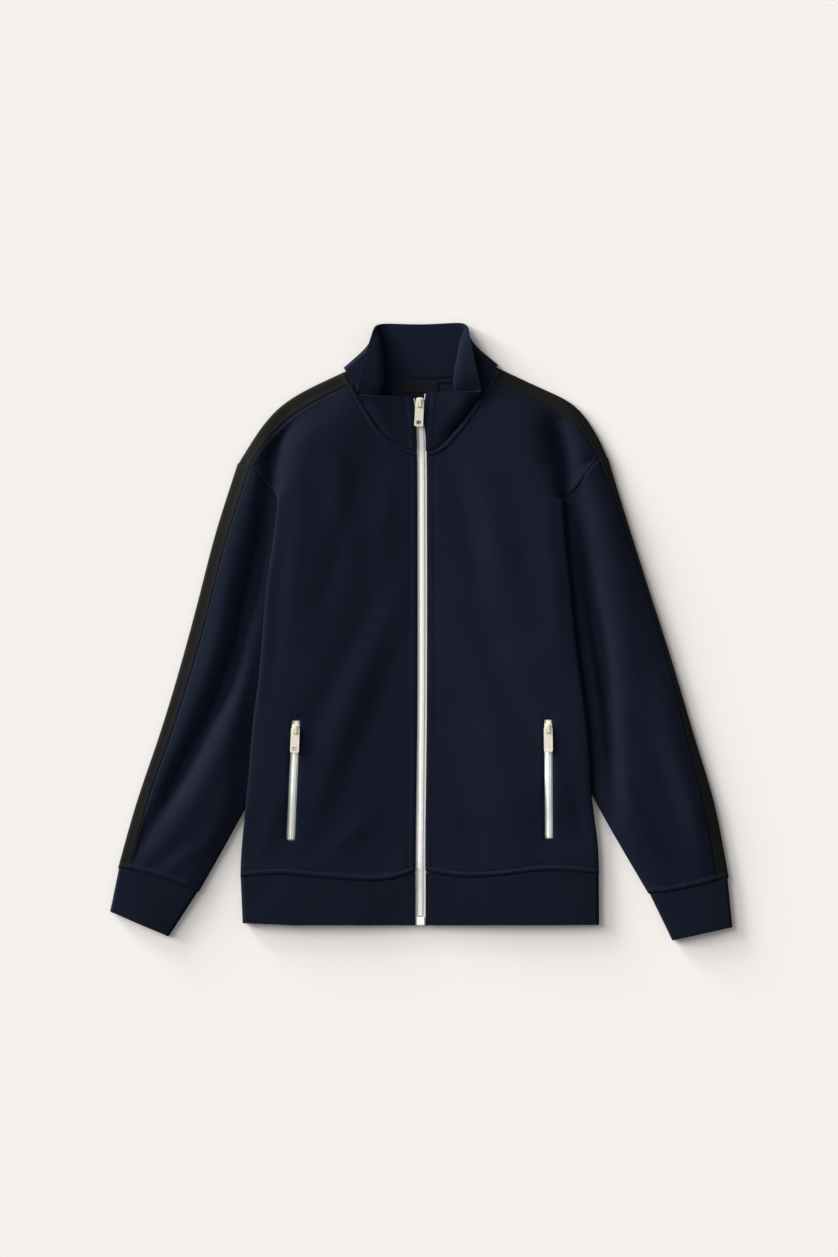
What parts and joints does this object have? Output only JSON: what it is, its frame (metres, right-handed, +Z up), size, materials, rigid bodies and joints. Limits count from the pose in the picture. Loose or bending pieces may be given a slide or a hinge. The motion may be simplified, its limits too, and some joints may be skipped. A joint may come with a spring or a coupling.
{
  "type": "zip-through track jacket laid flat",
  "caption": "Knitted track jacket with a full front zip, stand collar, zip pockets, ribbed hem and cuffs and contrast arm stripes, laid flat on its back.",
  "frame": {"origin": "on the surface the jacket lies on, under the middle of its outline", "axes": "+Z up from the surface, +Y towards the collar, +X towards the wearer's left sleeve"},
  "size_m": [0.79, 0.7824, 0.0214],
  "materials": {
    "knit": "navy sweatshirt knit, matt, soft face",
    "rib": "navy rib knit, matt",
    "stripe": "black woven tape with a faint sheen",
    "zip_tape": "ivory woven zip tape",
    "zip_teeth": "ivory moulded teeth",
    "zip_metal": "ivory lacquered slider and pull, satin",
    "label": "bare black woven label"
  },
  "bodies": {
    "garment": {"back": "knit", "front_right": "knit", "front_left": "knit", "sleeve_right": "knit", "sleeve_left": "knit", "collar": "knit", "sleeve_stripe_right": "stripe", "sleeve_stripe_left": "stripe", "shoulder_stripe_right": "stripe", "shoulder_stripe_left": "stripe", "hem_band": "rib", "cuff_right": "rib", "cuff_left": "rib", "zip_tape_right": "zip_tape", "zip_tape_left": "zip_tape", "pocket_zip_right": "zip_tape", "pocket_zip_left": "zip_tape", "zip_chain": "zip_teeth", "zip_box": "zip_teeth", "zip_slider": "zip_metal", "pocket_slider_right": "zip_metal", "pocket_slider_left": "zip_metal", "neck_label": "label"},
    "main_pull": {"zip_pull": "zip_metal"},
    "pocket_pull_right": {"pocket_pull_right": "zip_metal"},
    "pocket_pull_left": {"pocket_pull_left": "zip_metal"}
  },
  "joints": [
    {"name": "main_pull_hinge", "type": "hinge", "parent": "garment", "child": "main_pull", "pos_m": [-0.00191, 0.29106, 0.01399], "axis": [-0.9986, 0.0522, 0.0037], "range_deg": [0, 150]},
    {"name": "pocket_pull_hinge_right", "type": "hinge", "parent": "garment", "child": "pocket_pull_right", "pos_m": [-0.15898, -0.12169, 0.01883], "axis": [-0.999, 0.0457, 0], "range_deg": [0, 150]},
    {"name": "pocket_pull_hinge_left", "type": "hinge", "parent": "garment", "child": "pocket_pull_left", "pos_m": [0.16035, -0.1207, 0.01903], "axis": [-1, -0.0099, 0], "range_deg": [0, 150]}
  ]
}
